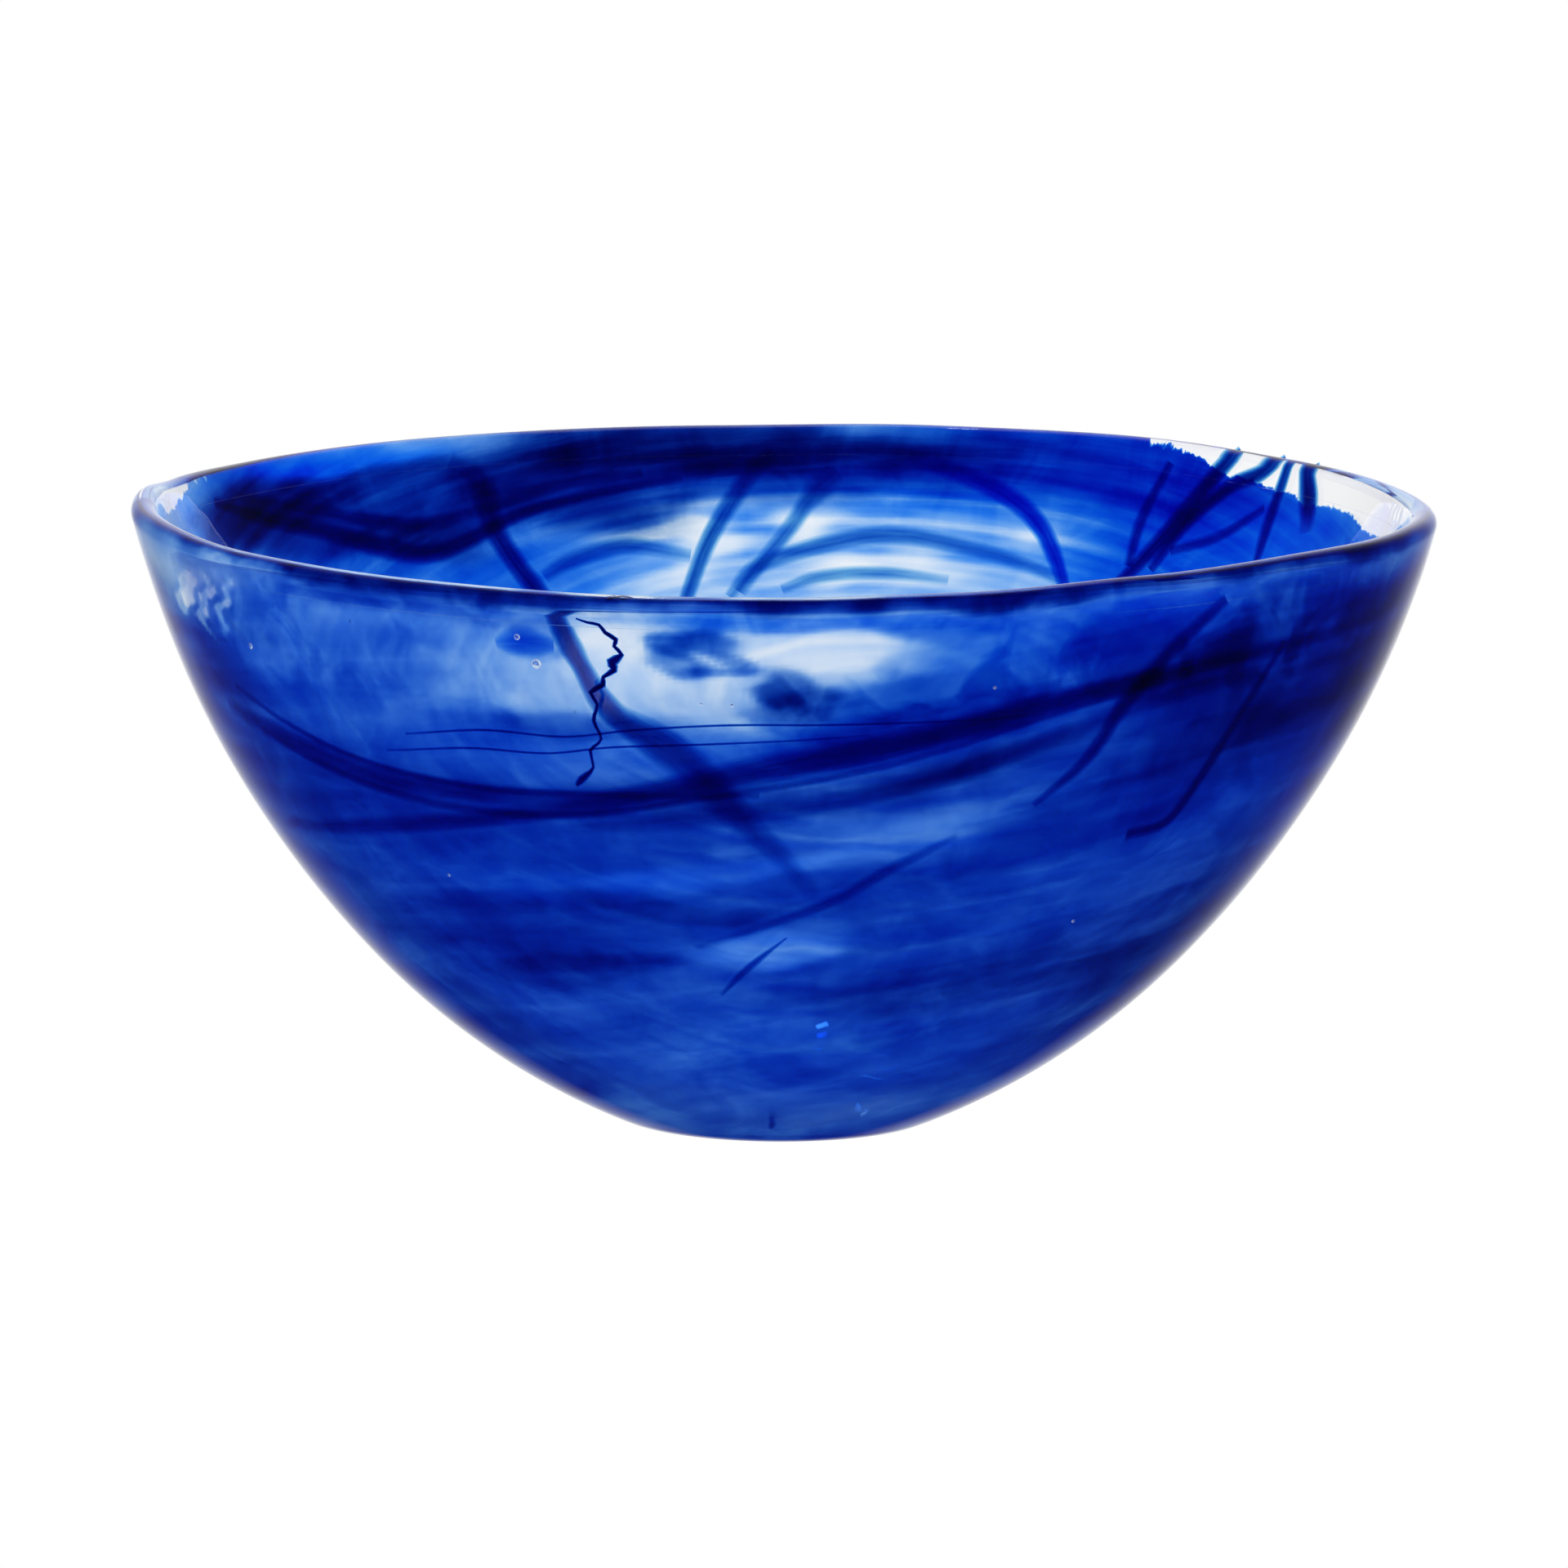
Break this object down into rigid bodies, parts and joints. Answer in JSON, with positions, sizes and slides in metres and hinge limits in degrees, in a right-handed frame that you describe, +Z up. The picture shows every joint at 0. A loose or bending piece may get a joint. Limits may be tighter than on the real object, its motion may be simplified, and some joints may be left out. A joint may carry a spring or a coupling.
{
  "type": "art glass bowl",
  "caption": "Large open hand-blown cased glass bowl with a cobalt veil and dark drawn trails held in clear glass, on a small ground foot.",
  "frame": {"origin": "centre of the ground foot's resting face", "axes": "+Z up the bowl's axis to the rim, front of the bowl towards -Y, +X to its right"},
  "size_m": [0.3499, 0.35, 0.167],
  "materials": {
    "clear_glass": "fire-polished clear soda-lime glass",
    "cobalt_glass": "thin transparent cobalt-blue overlay of uneven depth",
    "royal_blue_glass": "royal-blue transparent glass",
    "dark_trail_glass": "very dark blue drawn glass"
  },
  "bodies": {
    "root": {"clear_casing": "clear_glass", "cobalt_veil": "cobalt_glass", "clear_lining": "clear_glass", "back_swirl_band": "dark_trail_glass", "blue_back_arch": "royal_blue_glass", "blue_drop": "royal_blue_glass", "branch_front_trail": "dark_trail_glass", "cross_back_trail": "dark_trail_glass", "diagonal_back_trail": "dark_trail_glass", "foot_trail": "dark_trail_glass", "hook_front_trail": "dark_trail_glass", "inner_back_arch": "dark_trail_glass", "jagged_trail": "dark_trail_glass", "knot_back_trail": "dark_trail_glass", "left_back_arch": "dark_trail_glass", "long_front_band": "dark_trail_glass", "low_front_streak": "dark_trail_glass", "lower_front_band": "dark_trail_glass", "middle_back_post": "dark_trail_glass", "outer_back_arch": "dark_trail_glass", "right_back_trail": "dark_trail_glass", "side_back_arch": "dark_trail_glass", "side_back_trail": "dark_trail_glass", "side_column_trail": "dark_trail_glass", "side_post_trail": "dark_trail_glass", "sliver_trail": "dark_trail_glass"}
  },
  "joints": []
}
